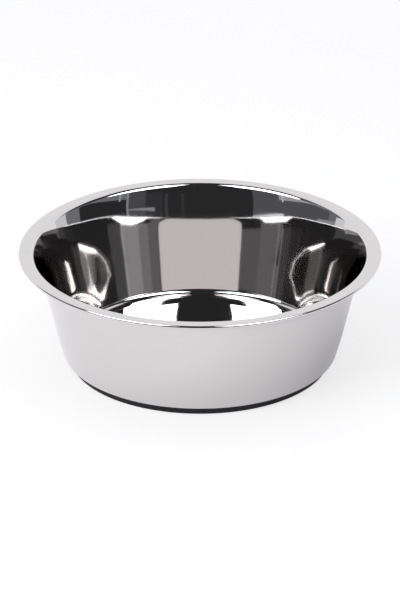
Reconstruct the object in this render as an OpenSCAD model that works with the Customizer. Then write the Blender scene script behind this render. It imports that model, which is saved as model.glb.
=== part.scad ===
// Stainless dog bowl: one deep-drawn steel shell standing on a bonded rubber ring.
// Origin on the table, in the middle of the ring. +Z is up. Millimetres.

/* [Overall] */
// Diameter over the rolled edge
rim_d = 250; // [240:1:300]
// Height from the table to the top of the flange
total_h = 82; // [72:0.5:112]
// Thickness of the steel sheet
sheet_t = 0.7; // [0.5:0.05:0.9]

/* [Flange and rolled edge] */
// Width of the level part of the flange, without the rolled edge
flange_w = 5.7; // [2:0.1:8]
// Outside radius of the rolled edge
curl_r = 1.3; // [1.1:0.05:2]
// How far round the edge is rolled, in degrees
curl_turn = 225; // [120:5:240]
// Radius over the inner edge of the flange, on its upper face
brim_r = 4; // [3:0.5:7]

/* [Wall] */
// Distance from the inner edge of the flange in to the shoulder at the top of the wall
shoulder_w = 7.9; // [6:0.1:11]
// Height of the top of the flange above the shoulder
shoulder_h = 13.9; // [11:0.1:19]
// How much more the wall leans at its foot and at its shoulder than in its middle, in degrees
bow_turn = 3.5; // [1:0.1:5]
// Share of the wall that each of its two slight bends takes
bow_share = 0.315; // [0.1:0.005:0.45]
// Inside radius of the corner between floor and wall
corner_r = 4; // [3:0.1:6]

/* [Floor] */
// Diameter of the floor inside the corner
floor_d = 182; // [174:0.5:186]
// Width of the level standing band, from the corner in to the pressed crease
band_w = 4; // [3:0.1:16]
// Height that the middle of the floor is pressed up
floor_rise = 1.5; // [1:0.1:2.5]
// Slope of the ramp up to the middle of the floor, in degrees
ramp_slope = 5.6; // [4:0.1:9]
// Steepest slope within the crease, in degrees
crease_slope = 30; // [20:1:40]
// Bend radius within the crease, in the middle of the sheet
crease_r = 1.2; // [0.8:0.1:1.8]
// Bend radius where the ramp meets the middle of the floor
ramp_r = 6; // [3:0.5:12]

/* [Rubber ring] */
// Height of the ring under the standing band
ring_h = 5; // [3:0.1:7]
// Width of the ring, from its outer face in to its bore
ring_w = 4.5; // [3.5:0.1:16]
// Distance from the start of the corner in to the ring's outer face
ring_inset = 1; // [0.5:0.1:2]
// Radius on the ring's two edges that meet the table
ring_edge_r = 0.6; // [0.3:0.1:0.9]
// Thickness of the glue between ring and steel
glue_t = 0.05; // [0.02:0.01:0.1]

/* [Hidden] */

// Pieces of each bend, and segments round the axis
bend_steps = 12;
round_fn = 180;
steel = [0.80, 0.79, 0.79];
rubber = [0.09, 0.09, 0.10];

// Levels and radii in the middle of the sheet
half_t = sheet_t / 2;
band_z = ring_h + half_t;
flange_z = total_h - half_t;
floor_r = floor_d / 2;
crease_edge_r = floor_r - band_w;
brim_start_r = rim_d / 2 - curl_r - flange_w;
corner_mid_r = corner_r + half_t;
brim_mid_r = brim_r - half_t;
curl_mid_r = curl_r - half_t;

// Floor: how much each bend drops and how far it reaches, which leaves the ramp's length
ramp_bend_drop = ramp_r * (1 - cos(ramp_slope));
crease_drop = crease_r * (cos(ramp_slope) - cos(crease_slope)) + crease_r * (1 - cos(crease_slope));
ramp_length = (floor_rise - ramp_bend_drop - crease_drop) / sin(ramp_slope);
ramp_reach = ramp_r * sin(ramp_slope) + ramp_length * cos(ramp_slope);
crease_reach = crease_r * (sin(crease_slope) - sin(ramp_slope)) + crease_r * sin(crease_slope);
middle_r = crease_edge_r - crease_reach - ramp_reach;

// Wall: a slight bend, a straight and a slight bend back, from the corner's arc up to the shoulder
corner_centre = [floor_r, band_z + corner_mid_r];
shoulder = [brim_start_r - shoulder_w, total_h - shoulder_h];
corner_to_shoulder = shoulder - corner_centre;
chord_turn = atan(2 * bow_share * tan(bow_turn / 2));
foot_turn = bow_turn - chord_turn;
foot_reach = corner_mid_r * cos(foot_turn);
chord_lean = acos(foot_reach / norm(corner_to_shoulder)) - atan2(corner_to_shoulder.y, corner_to_shoulder.x);
chord_length = corner_mid_r * sin(foot_turn)
    + sqrt(corner_to_shoulder * corner_to_shoulder - foot_reach * foot_reach);
wall_length = chord_length * cos(chord_turn);
bow_r = bow_share * wall_length / sin(bow_turn);
end_lean = chord_lean - chord_turn + bow_turn;
end_normal = [cos(end_lean), -sin(end_lean)];

// Flare: the one arc that leaves the shoulder smoothly and runs smoothly into the brim's arc
brim_centre = [brim_start_r, flange_z - brim_mid_r];
shoulder_to_brim = brim_centre - shoulder;
// A flare that bows less than this share of the brim's radius is drawn with this much bow
least_bow_share = 0.01;
flare_bow = shoulder_to_brim * end_normal - brim_mid_r;
least_bow = least_bow_share * brim_mid_r;
drawn_bow = abs(flare_bow) < least_bow ? least_bow : flare_bow;
flare_r = (shoulder_to_brim * shoulder_to_brim - brim_mid_r * brim_mid_r) / (2 * drawn_bow);
flare_centre = shoulder + flare_r * end_normal;
towards_brim = (brim_centre - flare_centre) / (flare_r - brim_mid_r);
top_lean = atan2(towards_brim.y, -towards_brim.x);

// A station on the sheet is [radius, height, heading in degrees], with 0 level and outwards
function straight(from, length) =
    [[from.x + length * cos(from.z), from.y + length * sin(from.z), from.z]];

// A bend turns up where turn is positive and down where it is negative
function bend(from, radius, turn, steps = bend_steps) =
    let (side = sign(turn) * radius)
    let (centre = [from.x - side * sin(from.z), from.y + side * cos(from.z)])
    [for (i = [1 : steps])
        let (heading = from.z + turn * i / steps)
        [centre.x + side * sin(heading), centre.y - side * cos(heading), heading]];

function end_of(stations) = stations[len(stations) - 1];

// The sheet from the middle of the floor to the tail of the rolled edge
middle = concat([[0, band_z + floor_rise, 0]], straight([0, band_z + floor_rise, 0], middle_r));
ramp_top = bend(end_of(middle), ramp_r, -ramp_slope, 4);
ramp = straight(end_of(ramp_top), ramp_length);
crease_in = bend(end_of(ramp), crease_r, ramp_slope - crease_slope, 6);
crease_out = bend(end_of(crease_in), crease_r, crease_slope, 6);
band = straight(end_of(crease_out), band_w);
corner = bend(end_of(band), corner_mid_r, 90 - end_lean);
lower_wall = bend(end_of(corner), bow_r, bow_turn);
middle_wall = straight(end_of(lower_wall), (1 - 2 * bow_share) * wall_length);
upper_wall = bend(end_of(middle_wall), bow_r, -bow_turn);
wall = concat(corner, lower_wall, middle_wall, upper_wall);
flare = bend(end_of(wall), abs(flare_r), end_lean - top_lean);
brim = bend(end_of(flare), brim_mid_r, top_lean - 90);
flange = straight(end_of(brim), flange_w);
curl = bend(end_of(flange), curl_mid_r, -curl_turn, 2 * bend_steps);
sheet = concat(middle, ramp_top, ramp, crease_in, crease_out, band, wall, flare, brim, flange, curl);

// The sheet's two faces, half a thickness above and below the stations
function face_of(stations, offset) =
    [for (s = stations) [max(0, s.x - offset * sin(s.z)), s.y + offset * cos(s.z)]];

function reversed(points) = [for (i = [len(points) - 1 : -1 : 0]) points[i]];

module bowl_shell() {
    color(steel)
        rotate_extrude($fn = round_fn)
            polygon(concat(face_of(sheet, half_t), reversed(face_of(sheet, -half_t))));
}

// The ring's top lies under the band, a glue film away
seat_z = ring_h - glue_t;
ring_r = floor_r - ring_inset;
bore_r = ring_r - ring_w;

function edge_round(centre, from) =
    [for (i = [0 : bend_steps / 2])
        let (a = from + 90 * i / (bend_steps / 2))
        centre + ring_edge_r * [cos(a), sin(a)]];

module rubber_ring() {
    color(rubber)
        rotate_extrude($fn = round_fn)
            polygon(concat(
                [[ring_r, seat_z], [bore_r, seat_z]],
                edge_round([bore_r + ring_edge_r, ring_edge_r], 180),
                edge_round([ring_r - ring_edge_r, ring_edge_r], 270)
            ));
}

bowl_shell();
rubber_ring();
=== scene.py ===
"""Stainless dog bowl: a polished steel shell on a bonded rubber ring, in a white studio."""

import math

import bpy
from bpy.props import FloatProperty, FloatVectorProperty, IntProperty, PointerProperty
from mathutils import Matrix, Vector


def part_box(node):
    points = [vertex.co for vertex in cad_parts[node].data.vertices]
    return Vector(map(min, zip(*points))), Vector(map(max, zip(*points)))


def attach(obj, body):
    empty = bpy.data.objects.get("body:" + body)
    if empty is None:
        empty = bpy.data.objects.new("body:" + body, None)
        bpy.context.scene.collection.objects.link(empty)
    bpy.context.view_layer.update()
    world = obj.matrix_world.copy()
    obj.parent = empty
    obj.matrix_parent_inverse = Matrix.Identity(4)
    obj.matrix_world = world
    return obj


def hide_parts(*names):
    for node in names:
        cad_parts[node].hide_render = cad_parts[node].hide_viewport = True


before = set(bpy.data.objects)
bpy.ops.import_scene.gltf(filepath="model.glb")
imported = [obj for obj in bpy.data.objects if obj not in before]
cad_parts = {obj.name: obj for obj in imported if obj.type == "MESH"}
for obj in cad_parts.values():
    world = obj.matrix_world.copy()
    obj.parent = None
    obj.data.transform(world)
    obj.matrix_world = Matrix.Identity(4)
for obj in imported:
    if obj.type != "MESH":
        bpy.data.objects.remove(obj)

bl_info = {
    "name": "Stainless Dog Bowl",
    "version": (1, 0, 0),
    "blender": (4, 5, 0),
    "location": "View3D > Sidebar > Dog Bowl",
    "description": "Builds a polished steel dog bowl with its rubber ring, in a white studio",
    "category": "Object",
}

MM = 0.001
BODY = "root"

# Short part at each end of a straight run, which keeps its shading true beside a bend
HOLD = 0.25 * MM
# Faces that meet at less than this are shaded as one surface
SMOOTH_ANGLE = math.radians(40)
# A card on the studio's sphere has an edge about every so many degrees
CARD_STEP = 3
# Share of its range that nearly all of a noise texture keeps to
NOISE_LOW, NOISE_HIGH = 0.3, 0.7

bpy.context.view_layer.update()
shell_low, shell_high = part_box("bowl_shell")


def linear(hex_colour):
    """An sRGB hex colour as linear red, green, blue and alpha."""
    shares = [int(hex_colour[i:i + 2], 16) / 255 for i in (1, 3, 5)]
    return [s / 12.92 if s <= 0.04045 else ((s + 0.055) / 1.055) ** 2.4 for s in shares] + [1.0]


def length(name, description, millimetres):
    return FloatProperty(
        name=name, description=description, default=millimetres * MM, unit="LENGTH", precision=5)


def angle(name, description, degrees):
    return FloatProperty(
        name=name, description=description, default=math.radians(degrees), subtype="ANGLE")


def plain(name, description, value):
    return FloatProperty(name=name, description=description, default=value)


def colour(name, description, hex_colour):
    return FloatVectorProperty(
        name=name, description=description, default=linear(hex_colour), size=4,
        subtype="COLOR", min=0, max=1)


class ShellSizes(bpy.types.PropertyGroup):
    """Sizes of the steel shell. The rim and the height come from the frame."""

    rim_d: FloatProperty(
        name="Rim diameter", description="Diameter over the rolled edge",
        default=min(shell_high.x - shell_low.x, shell_high.y - shell_low.y),
        unit="LENGTH", precision=5)
    top_z: FloatProperty(
        name="Height", description="Height of the flange's upper face above the table",
        default=shell_high.z, unit="LENGTH", precision=5)
    foot_z: FloatProperty(
        name="Floor height", description="Height of the shell's lowest face above the table",
        default=shell_low.z, unit="LENGTH", precision=5)
    sheet_t: length("Sheet", "Thickness of the steel sheet", 0.7)
    flange_w: length("Flange", "Width of the level part of the flange", 5.7)
    curl_r: length("Rolled edge", "Outside radius of the rolled edge", 1.3)
    curl_turn: angle("Roll", "How far round the edge is rolled", 225)
    brim_r: length("Brim", "Radius over the inner edge of the flange", 4)
    shoulder_w: length(
        "Shoulder width", "From the flange's inner edge in to the top of the wall", 7.9)
    shoulder_h: length("Shoulder height", "From the top of the wall up to the flange", 13.9)
    bow_turn: angle("Bow", "How much more the wall leans at its ends than in its middle", 3.5)
    bow_share: plain("Bow share", "Share of the wall that each slight bend takes", 0.315)
    corner_r: length("Corner", "Inside radius between floor and wall", 4)
    floor_d: length("Floor", "Diameter of the floor inside the corner", 182)
    band_w: length("Band", "Width of the level band outside the crease", 4)
    floor_rise: length("Rise", "Height that the middle of the floor is pressed up", 1.5)
    ramp_slope: angle("Ramp", "Slope up to the middle of the floor", 5.6)
    crease_slope: angle("Crease slope", "Steepest slope within the crease", 30)
    crease_r: length(
        "Crease bend", "Bend radius within the crease, in the middle of the sheet", 1.2)
    ramp_r: length("Ramp bend", "Bend radius where the ramp meets the middle of the floor", 6)
    round_steps: IntProperty(
        name="Round steps", description="Steps round the axis", default=288, min=32, max=720)


class RingSizes(bpy.types.PropertyGroup):
    """Sizes of the rubber ring, which is set back under the level band."""

    ring_h: length("Height", "Height of the ring under the band", 5)
    ring_w: length("Width", "Width of the ring, from its outer face in to its bore", 4.5)
    inset: length("Inset", "From the start of the shell's corner in to the ring's outer face", 1)
    edge_r: length("Edge", "Radius on the two edges that meet the table", 0.6)
    top_r: length("Top edge", "Radius on the two edges under the steel", 0.12)
    glue_t: length("Glue", "Thickness of the glue between ring and steel", 0.05)


class FinishColours(bpy.types.PropertyGroup):
    """Colours of the two materials."""

    steel: colour("Steel", "Polished stainless steel", "#DDD9D6")
    rubber: colour("Rubber", "Moulded black rubber", "#1C1C1E")
    rubber_dust: colour("Rubber dust", "Fine dust that dulls the rubber", "#3A393B")


class StudioSettings(bpy.types.PropertyGroup):
    """The camera, the floor and the light."""

    aim_z: length("Aim", "Height of the point on the axis that the camera looks at", 43.37)
    distance: length("Distance", "Distance of the camera from that point", 2600)
    elevation: angle("Elevation", "Angle of the camera above the table", 24.93)
    lens: plain("Lens", "Focal length in millimetres, on a sensor 36 mm wide", 224.8)
    floor_size: length("Floor", "Side of the square floor", 9000)
    tent_r: length("Tent", "Radius of the dark tent round the table", 3200)
    floor_colour: colour("Floor colour", "Matt white table", "#EFEFF1")
    white: colour("White", "Table and backdrop, as the camera sees them", "#FFFFFF")
    mirrored: colour("Mirrored white", "Backdrop as the steel sees it, a little cool", "#F9FAFF")
    mirrored_table: colour("Mirrored table", "The table as the steel mirrors it", "#F8F9FF")
    # Painted shadow: the darkest tone that mirrors see of the table beside the base
    painted_mirrored_shadow: colour(
        "Mirrored shadow", "The table beside the bowl's base, as the steel mirrors it", "#B8B9BF")
    card_colour: colour("Cards", "Light of the cards, a little cool", "#F1F6FF")
    table_glow: plain("Table glow", "Strength of the white that the table shows by itself", 0.72)
    ambient: plain("Ambient", "Strength of the world's light on matt surfaces", 0.24)
    tent_tone: plain("Tent tone", "Strength of the dark tent in the mirror", 0.03)
    softbox_tone: plain("Softbox tone", "Strength of the two softboxes in the mirror", 6.0)


GROUPS = (ShellSizes, RingSizes, FinishColours, StudioSettings)


def settings():
    return bpy.context.scene.dog_bowl


def start_line(name, point):
    """Adds a piece that is a single selected vertex, and stays in edit mode."""
    bpy.ops.object.select_all(action="DESELECT")
    bpy.ops.mesh.primitive_plane_add(size=MM, location=point)
    bpy.ops.object.transform_apply(location=True, rotation=False, scale=False)
    piece = bpy.context.object
    piece.name = piece.data.name = name
    bpy.ops.object.mode_set(mode="EDIT")
    bpy.ops.mesh.select_all(action="SELECT")
    bpy.ops.mesh.merge(type="CENTER")
    return piece


class Profile:
    """A line of edges in the XZ plane, drawn vertex by vertex from a station with a heading.

    The heading is 0 outwards and a quarter turn upwards. The last vertex is the one selected."""

    def __init__(self, name, radius, z, heading):
        self.radius, self.z, self.heading = radius, z, heading
        self.piece = start_line(name, (radius, 0, z))

    def run(self, distance, parts=1):
        """Extrudes straight on, in so many equal parts."""
        part = distance / parts
        step = (math.cos(self.heading) * part, 0, math.sin(self.heading) * part)
        for _ in range(parts):
            bpy.ops.mesh.extrude_region_move(TRANSFORM_OT_translate={"value": step})
        self.radius += step[0] * parts
        self.z += step[2] * parts

    def held_run(self, distance, parts=1):
        """A straight run with a short part at each end."""
        self.run(HOLD)
        self.run(distance - 2 * HOLD, parts)
        self.run(HOLD)

    def bend(self, radius, turn, steps):
        """Spins the last vertex round an arc, upwards where turn is positive."""
        side = math.copysign(radius, turn)
        centre = (
            self.radius - side * math.sin(self.heading), 0, self.z + side * math.cos(self.heading))
        bpy.ops.mesh.spin(
            steps=steps, angle=abs(turn), center=centre, axis=(0, math.copysign(1, turn), 0),
            use_auto_merge=False)
        self.heading += turn
        self.radius = centre[0] + side * math.sin(self.heading)
        self.z = centre[2] - side * math.cos(self.heading)

    def revolve(self, steps):
        """Spins the whole line round the Z axis, closes its seam and poles, and ends edit mode."""
        bpy.ops.mesh.select_all(action="SELECT")
        bpy.ops.mesh.spin(steps=steps, angle=math.tau, center=(0, 0, 0), axis=(0, 0, 1))
        bpy.ops.mesh.select_all(action="SELECT")
        bpy.ops.mesh.remove_doubles(threshold=0.002 * MM)
        bpy.ops.mesh.normals_make_consistent(inside=False)
        bpy.ops.object.mode_set(mode="OBJECT")
        return self.piece


def finish_piece(piece, node, material):
    """Puts the material on and ties the piece to the frame."""
    piece.data.materials.clear()
    piece.data.materials.append(material)
    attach(piece, BODY)
    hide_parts(node)


def add_node(tree, kind, inputs=(), **properties):
    """Adds a node with its properties, and sets or links each input by its name or number."""
    node = tree.nodes.new(kind)
    for name, value in properties.items():
        setattr(node, name, value)
    for socket, value in dict(inputs).items():
        if isinstance(value, bpy.types.NodeSocket):
            tree.links.new(value, node.inputs[socket])
        else:
            node.inputs[socket].default_value = value
    return node


def new_material(name):
    """An empty node material with its output, and that output."""
    material = bpy.data.materials.new(name)
    material.use_nodes = True
    material.node_tree.nodes.clear()
    output = add_node(material.node_tree, "ShaderNodeOutputMaterial")
    return material, material.node_tree, output


def polished_steel():
    """Stainless steel sheet, deep-drawn and polished on a lathe: a clear mirror, a little warm,
    with a faint waviness from the drawing and very fine rings from the polishing mop."""
    material, tree, output = new_material("polished_stainless_steel")
    place = add_node(tree, "ShaderNodeTexCoord").outputs["Object"]

    # Slow waves that the press leaves, about 35 mm long and a few micrometres high
    wave_length, wave_height = 35 * MM, 0.004 * MM
    waves = add_node(tree, "ShaderNodeTexNoise", {
        "Vector": place, "Scale": 1 / wave_length, "Detail": 1.0, "Roughness": 0.4})
    bump = add_node(tree, "ShaderNodeBump", {
        "Strength": 1.0, "Distance": wave_height, "Height": waves.outputs["Fac"]})

    # Rings of the polishing mop. Real ones are 0.02 mm apart; these are 1.5 mm apart, so that they
    # show. Their roughness runs from the clearest to the dullest
    ring_spacing = 1.5 * MM
    clearest, dullest = 0.035, 0.065
    parts = add_node(tree, "ShaderNodeSeparateXYZ", {"Vector": place})
    flat = add_node(tree, "ShaderNodeCombineXYZ", {
        "X": parts.outputs["X"], "Y": parts.outputs["Y"]})
    radius = add_node(tree, "ShaderNodeVectorMath", {
        0: flat.outputs["Vector"]}, operation="LENGTH")
    across = add_node(tree, "ShaderNodeMath", {
        0: radius.outputs["Value"], 1: parts.outputs["Z"]}, operation="ADD")
    rings = add_node(tree, "ShaderNodeTexNoise", {
        "W": across.outputs["Value"], "Scale": 1 / ring_spacing, "Detail": 2.0},
        noise_dimensions="1D")
    roughness = add_node(tree, "ShaderNodeMapRange", {
        "Value": rings.outputs["Fac"], "From Min": NOISE_LOW, "From Max": NOISE_HIGH,
        "To Min": clearest, "To Max": dullest})

    shader = add_node(tree, "ShaderNodeBsdfPrincipled", {
        "Base Color": settings().colours.steel, "Metallic": 1.0,
        "Roughness": roughness.outputs["Result"], "Normal": bump.outputs["Normal"]})
    tree.links.new(shader.outputs["BSDF"], output.inputs["Surface"])
    return material


def black_rubber():
    """Compression-moulded black rubber: dull and dense, a little greyer where dust clings."""
    material, tree, output = new_material("moulded_black_rubber")
    place = add_node(tree, "ShaderNodeTexCoord").outputs["Object"]

    # Dust in soft patches about 6 mm across, which hide at most a third of the black
    patch_size, most_dust = 6 * MM, 0.35
    patches = add_node(tree, "ShaderNodeTexNoise", {
        "Vector": place, "Scale": 1 / patch_size, "Detail": 4.0, "Roughness": 0.6})
    dust = add_node(tree, "ShaderNodeMapRange", {
        "Value": patches.outputs["Fac"], "From Min": 0.45, "From Max": 0.8,
        "To Min": 0.0, "To Max": most_dust})
    tint = add_node(tree, "ShaderNodeMix", {
        "Factor": dust.outputs["Result"], "A": settings().colours.rubber,
        "B": settings().colours.rubber_dust}, data_type="RGBA")

    # Grain of the mould. Real grain is 0.05 mm; this is 0.4 mm, so that it shows
    grain_size, grain_height = 0.4 * MM, 0.02 * MM
    grain = add_node(tree, "ShaderNodeTexNoise", {
        "Vector": place, "Scale": 1 / grain_size, "Detail": 2.0})
    bump = add_node(tree, "ShaderNodeBump", {
        "Strength": 0.6, "Distance": grain_height, "Height": grain.outputs["Fac"]})

    shader = add_node(tree, "ShaderNodeBsdfPrincipled", {
        "Base Color": tint.outputs["Result"], "Roughness": 0.62, "IOR": 1.52,
        "Normal": bump.outputs["Normal"]})
    tree.links.new(shader.outputs["BSDF"], output.inputs["Surface"])
    return material


class DOGBOWL_OT_shell(bpy.types.Operator):
    """Draw the steel sheet's middle line, spin it and give it its thickness"""

    bl_idname = "dogbowl.shell"
    bl_label = "Steel Shell"

    def execute(self, context):
        size = settings().shell
        half_t = size.sheet_t / 2
        # The wall leaves the corner's arc smoothly and ends at the shoulder
        band_z = size.foot_z + half_t
        floor_r = size.floor_d / 2
        corner_mid_r = size.corner_r + half_t
        brim_mid_r = size.brim_r - half_t
        brim_start_r = size.rim_d / 2 - size.curl_r - size.flange_w
        shoulder = Vector((brim_start_r - size.shoulder_w, size.top_z - size.shoulder_h))
        from_corner = shoulder - Vector((floor_r, band_z + corner_mid_r))
        chord_turn = math.atan(2 * size.bow_share * math.tan(size.bow_turn / 2))
        foot_turn = size.bow_turn - chord_turn
        foot_reach = corner_mid_r * math.cos(foot_turn)
        chord_lean = math.acos(foot_reach / from_corner.length) - math.atan2(
            from_corner.y, from_corner.x)
        chord_length = corner_mid_r * math.sin(foot_turn) + math.sqrt(
            from_corner.length_squared - foot_reach ** 2)
        wall_length = chord_length * math.cos(chord_turn)
        bow_r = size.bow_share * wall_length / math.sin(size.bow_turn)
        end_lean = chord_lean - chord_turn + size.bow_turn
        end_normal = Vector((math.cos(end_lean), -math.sin(end_lean)))
        # The flare is the one arc that runs from it smoothly into the brim's arc
        brim_centre = Vector((brim_start_r, size.top_z - half_t - brim_mid_r))
        to_brim = brim_centre - shoulder
        bow = to_brim.dot(end_normal) - brim_mid_r
        flare_r = (to_brim.length_squared - brim_mid_r ** 2) / (2 * bow)
        towards_brim = (brim_centre - shoulder - flare_r * end_normal) / (flare_r - brim_mid_r)
        top_lean = math.atan2(towards_brim.y, -towards_brim.x)

        # The floor: how far each bend reaches and drops, which leaves the ramp and the middle
        sin_ramp, cos_ramp = math.sin(size.ramp_slope), math.cos(size.ramp_slope)
        sin_crease, cos_crease = math.sin(size.crease_slope), math.cos(size.crease_slope)
        bend_drop = size.ramp_r * (1 - cos_ramp) + size.crease_r * (1 + cos_ramp - 2 * cos_crease)
        ramp_length = (size.floor_rise - bend_drop) / sin_ramp
        ramp_reach = size.ramp_r * sin_ramp + ramp_length * cos_ramp
        crease_reach = size.crease_r * (2 * sin_crease - sin_ramp)
        middle_r = floor_r - size.band_w - crease_reach - ramp_reach

        quarter = math.pi / 2
        line = Profile("bowl_shell_sheet", radius=0, z=band_z + size.floor_rise, heading=0)
        line.held_run(middle_r, parts=3)
        line.bend(size.ramp_r, -size.ramp_slope, steps=4)
        line.held_run(ramp_length, parts=2)
        line.bend(size.crease_r, size.ramp_slope - size.crease_slope, steps=6)
        line.bend(size.crease_r, size.crease_slope, steps=7)
        line.held_run(size.band_w)
        line.bend(corner_mid_r, quarter - end_lean, steps=20)
        line.bend(bow_r, size.bow_turn, steps=12)
        line.held_run(wall_length * (1 - 2 * size.bow_share), parts=3)
        line.bend(bow_r, -size.bow_turn, steps=12)
        line.bend(abs(flare_r), end_lean - top_lean, steps=12)
        line.bend(brim_mid_r, top_lean - quarter, steps=24)
        line.held_run(size.flange_w)
        line.bend(size.curl_r - half_t, -size.curl_turn, steps=26)
        shell = line.revolve(size.round_steps)

        sheet = shell.modifiers.new("Sheet", "SOLIDIFY")
        sheet.thickness, sheet.offset, sheet.use_even_offset = size.sheet_t, 0, False
        bpy.ops.object.modifier_apply(modifier=sheet.name)
        bpy.ops.object.shade_smooth_by_angle(angle=SMOOTH_ANGLE)
        finish_piece(shell, "bowl_shell", polished_steel())
        return {"FINISHED"}


class DOGBOWL_OT_ring(bpy.types.Operator):
    """Draw the ring's outline, spin it and round its upper edges"""

    bl_idname = "dogbowl.ring"
    bl_label = "Rubber Ring"

    def execute(self, context):
        size, shell = settings().ring, settings().shell
        ring_r = shell.floor_d / 2 - size.inset
        bore_r, seat_z = ring_r - size.ring_w, size.ring_h - size.glue_t
        quarter = math.pi / 2

        line = Profile("rubber_ring_moulding", radius=bore_r, z=seat_z, heading=-quarter)
        line.held_run(seat_z - size.edge_r)
        line.bend(size.edge_r, quarter, steps=8)
        line.held_run(size.ring_w - 2 * size.edge_r, parts=4)
        line.bend(size.edge_r, quarter, steps=8)
        line.held_run(seat_z - size.edge_r)
        # A sharp corner, and back in along the top. The bevel then rounds both ends of the top
        line.heading = math.pi
        line.held_run(size.ring_w)
        ring = line.revolve(shell.round_steps)

        top = ring.modifiers.new("Top edges", "BEVEL")
        top.width, top.segments = size.top_r, 3
        top.limit_method, top.angle_limit = "ANGLE", math.radians(30)
        bpy.ops.object.modifier_apply(modifier=top.name)
        bpy.ops.object.shade_smooth_by_angle(angle=SMOOTH_ANGLE)
        finish_piece(ring, "rubber_ring", black_rubber())
        return {"FINISHED"}


def seen_directly(tree):
    """1 for rays from the camera, from a mirror or through glass, and 0 once light is diffuse.

    What the steel throws back on the table counts as diffuse, so that the table's shadow stays."""
    path = add_node(tree, "ShaderNodeLightPath")
    mirrored = add_node(tree, "ShaderNodeMath", {
        0: path.outputs["Is Camera Ray"], 1: path.outputs["Is Glossy Ray"]}, operation="MAXIMUM")
    direct = add_node(tree, "ShaderNodeMath", {
        0: mirrored.outputs["Value"], 1: path.outputs["Is Transmission Ray"]}, operation="MAXIMUM")
    not_diffuse = add_node(tree, "ShaderNodeMath", {
        0: path.outputs["Diffuse Depth"], 1: 0.5}, operation="LESS_THAN")
    seen = add_node(tree, "ShaderNodeMath", {
        0: direct.outputs["Value"], 1: not_diffuse.outputs["Value"]}, operation="MULTIPLY")
    return seen.outputs["Value"]


def white_as_seen(tree, mirrored):
    """The studio's white: plain for the camera, and the colour given for all other rays."""
    path = add_node(tree, "ShaderNodeLightPath")
    white = add_node(tree, "ShaderNodeMix", {
        "Factor": path.outputs["Is Camera Ray"], "A": mirrored,
        "B": settings().studio.white}, data_type="RGBA")
    return white.outputs["Result"]


def table_material():
    """Matt white table, as bright as its backdrop, that still takes the bowl's soft shadow.
    Mirrors see a painted shadow on it beside the base.
    """
    studio = settings().studio
    material, tree, output = new_material("matt_white_table")
    matt = add_node(tree, "ShaderNodeBsdfDiffuse", {"Color": studio.floor_colour})

    # Painted shadow: the table's colour, as mirrors see it, is darkened round a point right of the
    # base, away from the front left lamp, so that the steel shows a soft shadow there. It is full
    # up to one distance from its centre and gone at the other
    painted_shadow_centre, painted_shadow_full, painted_shadow_end = (55 * MM, 5 * MM, 0), 60 * MM, 160 * MM
    place = add_node(tree, "ShaderNodeTexCoord")
    away = add_node(tree, "ShaderNodeVectorMath", {
        0: place.outputs["Object"], 1: painted_shadow_centre}, operation="DISTANCE")
    painted_shadow_fade = add_node(tree, "ShaderNodeMapRange", {
        "Value": away.outputs["Value"], "From Min": painted_shadow_full, "From Max": painted_shadow_end})
    mirrored = add_node(tree, "ShaderNodeMix", {
        "Factor": painted_shadow_fade.outputs["Result"], "A": studio.painted_mirrored_shadow,
        "B": studio.mirrored_table}, data_type="RGBA")

    strength = add_node(tree, "ShaderNodeMath", {
        0: seen_directly(tree), 1: studio.table_glow}, operation="MULTIPLY")
    light = add_node(tree, "ShaderNodeEmission", {
        "Color": white_as_seen(tree, mirrored.outputs["Result"]),
        "Strength": strength.outputs["Value"]})
    both = add_node(tree, "ShaderNodeAddShader", {
        0: matt.outputs["BSDF"], 1: light.outputs["Emission"]})
    tree.links.new(both.outputs["Shader"], output.inputs["Surface"])
    return material


def card_material(name, strength):
    """An even card of light, or a dark flag where its strength is low."""
    material, tree, output = new_material(name)
    seen = add_node(tree, "ShaderNodeMath", {
        0: seen_directly(tree), 1: strength}, operation="MULTIPLY")
    light = add_node(tree, "ShaderNodeEmission", {
        "Color": settings().studio.card_colour, "Strength": seen.outputs["Value"]})
    tree.links.new(light.outputs["Emission"], output.inputs["Surface"])
    return material


def towards(azimuth, elevation):
    """The unit vector at an azimuth, 0 behind the bowl and 90 on its right, and an elevation.

    Both are in degrees."""
    az, el = math.radians(azimuth), math.radians(elevation)
    return Vector((math.sin(az) * math.cos(el), math.cos(az) * math.cos(el), math.sin(el)))


def add_card(name, azimuth, elevation, radius, strength, cuts=()):
    """Adds a card on a sphere round the bowl, between two azimuths and two elevations, in degrees.

    Each cut takes off what lies on the right of the line from its first direction to its second,
    as seen from the bowl. Only polished surfaces see the card."""
    az0, az1 = (math.radians(a) for a in azimuth)
    el0, el1 = (math.radians(e) for e in elevation)
    card = start_line(name, radius * towards(azimuth[0], elevation[0]))
    # Up a meridian, and then round the Z axis
    arcs = ((el1 - el0, (-math.cos(az0), math.sin(az0), 0)), (az1 - az0, (0, 0, 1)))
    for turn, axis in arcs:
        bpy.ops.mesh.select_all(action="SELECT")
        bpy.ops.mesh.spin(
            steps=max(2, round(math.degrees(turn) / CARD_STEP)), angle=turn, center=(0, 0, 0),
            axis=axis, use_auto_merge=False)
    bpy.ops.mesh.select_all(action="SELECT")
    bpy.ops.mesh.remove_doubles(threshold=0.01 * MM)
    for start, end in cuts:
        bpy.ops.mesh.select_all(action="SELECT")
        bpy.ops.mesh.bisect(
            plane_co=(0, 0, 0), plane_no=towards(*end).cross(towards(*start)), clear_inner=True)
    bpy.ops.object.mode_set(mode="OBJECT")
    card.data.materials.append(card_material(name, strength))
    card.visible_camera = card.visible_diffuse = card.visible_shadow = False


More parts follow.
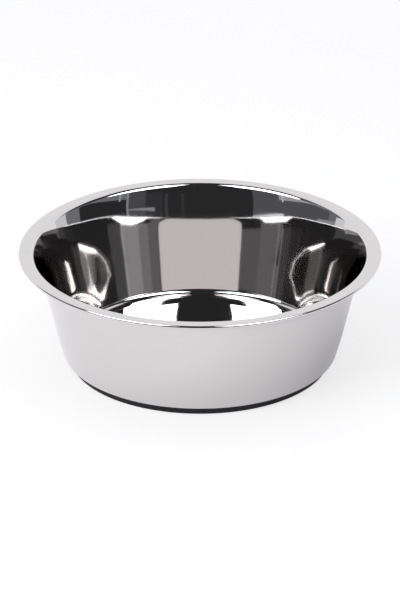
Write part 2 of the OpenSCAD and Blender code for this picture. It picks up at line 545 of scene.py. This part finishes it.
def add_lamp(name, azimuth, elevation, distance, size, power):
    """Adds a soft square lamp that points at the bowl, in metres and watts.

    Polished surfaces don't see it."""
    lamp = bpy.data.lights.new(name, "AREA")
    lamp.size, lamp.energy = size, power
    holder = bpy.data.objects.new(name, lamp)
    bpy.context.scene.collection.objects.link(holder)
    away = towards(azimuth, elevation)
    holder.location = away * distance
    holder.rotation_euler = away.to_track_quat("Z", "Y").to_euler()
    holder.visible_glossy = False


class DOGBOWL_OT_studio(bpy.types.Operator):
    """Add the white table, the cards that the steel mirrors, the lamps and the world"""

    bl_idname = "dogbowl.studio"
    bl_label = "Studio"

    def execute(self, context):
        studio = settings().studio
        bpy.ops.object.select_all(action="DESELECT")
        bpy.ops.mesh.primitive_plane_add(size=studio.floor_size)
        table = context.object
        table.name = "table"
        table.data.materials.append(table_material())

        # Three layers: the tent, the cards before it, and the small cards that lie over those
        r = studio.tent_r
        near, nearer = r * 0.97, r * 0.96
        dark, bright = studio.tent_tone, studio.softbox_tone
        # Dark tent on both sides of the backdrop and over it, with its corners cut
        add_card("tent_left", (-180, -62), (0, 90), r, dark)
        add_card("tent_right", (62, 180), (0, 90), r, dark)
        add_card("tent_top", (-62, 62), (60, 90), r, dark)
        add_card("tent_corner_left", (-63, -50), (42, 61), r, dark, cuts=(((-63, 44), (-52, 61)),))
        add_card("tent_corner_right", (50, 63), (42, 61), r, dark, cuts=(((52, 61), (63, 44)),))
        # Foot of the backdrop, which spreads to both sides and fades
        add_card("foot_left", (-71, -62), (0, 12), nearer, 0.85)
        add_card("foot_left_fade", (-88, -71), (0, 8), nearer, 0.35)
        add_card("foot_right", (62, 73), (0, 23), nearer, 0.8)
        add_card("foot_right_fade", (73, 86), (0, 23), nearer, 0.22)
        # Grey panels on the left, from the backdrop to the dark front
        add_card("panel_left_back", (-78, -64), (0, 60), near, 0.2)
        add_card("panel_left_low", (-123, -78), (0, 22), near, 0.11)
        add_card("panel_left_high", (-93, -78), (22, 40), near, 0.3)
        add_card("panel_left_side", (-121, -93), (22, 38), near, 0.45)
        add_card("panel_left_front", (-141, -121), (0, 34), near, 0.11)
        add_card("line_left", (-118.6, -117.6), (20, 36), nearer, 0.8)
        add_card("low_left", (-141, -117), (0, 7), nearer, 0.85)
        # Grey panels on the right, darker than on the left
        add_card("panel_right_back", (63, 92), (23, 33), near, 0.17)
        add_card("panel_right_side", (92, 126), (22, 41), near, 0.21)
        add_card("panel_right_front", (126, 140), (0, 30), near, 0.09)
        add_card("panel_right_dim", (140, 153), (0, 28), near, 0.045)
        add_card("line_right", (119.5, 120.5), (20, 41), nearer, 0.55)
        add_card("pole_right", (125.5, 127), (6, 30), nearer, 0.35)
        add_card("rail_right", (127, 147), (8.5, 9.8), nearer, 0.35)
        add_card("low_right", (116, 141), (0, 6), nearer, 1.0)
        add_card("low_right_dim", (98, 116), (0, 6), nearer, 0.3)
        # Thin stands in front of the tent
        add_card("stand_right", (154.5, 156.5), (5, 26), near, 0.07)
        add_card("stand_middle", (166.5, 168.5), (5, 26), near, 0.05)
        # Two large softboxes with cut lower corners, each with a dimmer lower edge
        add_card("softbox_left", (-147, -90), (38, 78), near, bright, cuts=(
            ((-150, 52), (-119, 37)), ((-98, 37), (-88, 50))))
        add_card("softbox_left_edge", (-121, -101), (34, 38), nearer, 1.9)
        add_card("softbox_right", (100, 156), (43, 80), near, bright, cuts=(
            ((134, 42), (158, 53)),))
        add_card("softbox_right_edge", (106, 136), (39.5, 43), nearer, 1.0)

        add_lamp("lamp_top", azimuth=0, elevation=80, distance=1.6, size=1.8, power=0.8)
        add_lamp("lamp_front_left", azimuth=-140, elevation=42, distance=1.6, size=0.9, power=4.0)

        world = bpy.data.worlds.new("white_world")
        context.scene.world = world
        world.use_nodes = True
        tree = world.node_tree
        tree.nodes.clear()
        strength = add_node(tree, "ShaderNodeMapRange", {
            "Value": seen_directly(tree), "To Min": studio.ambient, "To Max": 1.0})
        sky = add_node(tree, "ShaderNodeBackground", {
            "Color": white_as_seen(tree, studio.mirrored), "Strength": strength.outputs["Result"]})
        add_node(tree, "ShaderNodeOutputWorld", {"Surface": sky.outputs["Background"]})
        return {"FINISHED"}


class DOGBOWL_OT_camera(bpy.types.Operator):
    """Add the camera at the product picture's distance and angle"""

    bl_idname = "dogbowl.camera"
    bl_label = "Camera"

    def execute(self, context):
        studio = settings().studio
        data = bpy.data.cameras.new("camera")
        data.sensor_width, data.lens = 36, studio.lens
        # The whole tent lies between these, in metres
        data.clip_start, data.clip_end = 0.1, 20
        camera = bpy.data.objects.new("camera", data)
        context.scene.collection.objects.link(camera)
        back = Vector((0, -math.cos(studio.elevation), math.sin(studio.elevation)))
        camera.location = Vector((0, 0, studio.aim_z)) + back * studio.distance
        camera.rotation_euler = back.to_track_quat("Z", "Y").to_euler()
        context.scene.camera = camera
        context.scene.view_settings.view_transform = "Standard"
        return {"FINISHED"}


OPERATORS = (DOGBOWL_OT_camera, DOGBOWL_OT_shell, DOGBOWL_OT_ring, DOGBOWL_OT_studio)


class DogBowlSettings(bpy.types.PropertyGroup):
    """All settings of the bowl and its studio."""

    shell: PointerProperty(type=ShellSizes)
    ring: PointerProperty(type=RingSizes)
    colours: PointerProperty(type=FinishColours)
    studio: PointerProperty(type=StudioSettings)


class DOGBOWL_PT_panel(bpy.types.Panel):
    """Lists the operators and the settings of the bowl"""

    bl_idname = "DOGBOWL_PT_panel"
    bl_label = "Dog Bowl"
    bl_space_type = "VIEW_3D"
    bl_region_type = "UI"
    bl_category = "Dog Bowl"

    def draw(self, context):
        for operator in OPERATORS:
            self.layout.operator(operator.bl_idname)
        bowl = settings()
        for group in (bowl.shell, bowl.ring, bowl.colours, bowl.studio):
            box = self.layout.box()
            for name in group.__annotations__:
                box.prop(group, name)


CLASSES = GROUPS + (DogBowlSettings,) + OPERATORS + (DOGBOWL_PT_panel,)


def register():
    for cls in CLASSES:
        bpy.utils.register_class(cls)
    bpy.types.Scene.dog_bowl = PointerProperty(type=DogBowlSettings)


def unregister():
    del bpy.types.Scene.dog_bowl
    for cls in reversed(CLASSES):
        bpy.utils.unregister_class(cls)


def main():
    register()
    bpy.ops.dogbowl.camera()
    bpy.ops.dogbowl.shell()
    bpy.ops.dogbowl.ring()
    bpy.ops.dogbowl.studio()


if __name__ == "__main__":
    main()
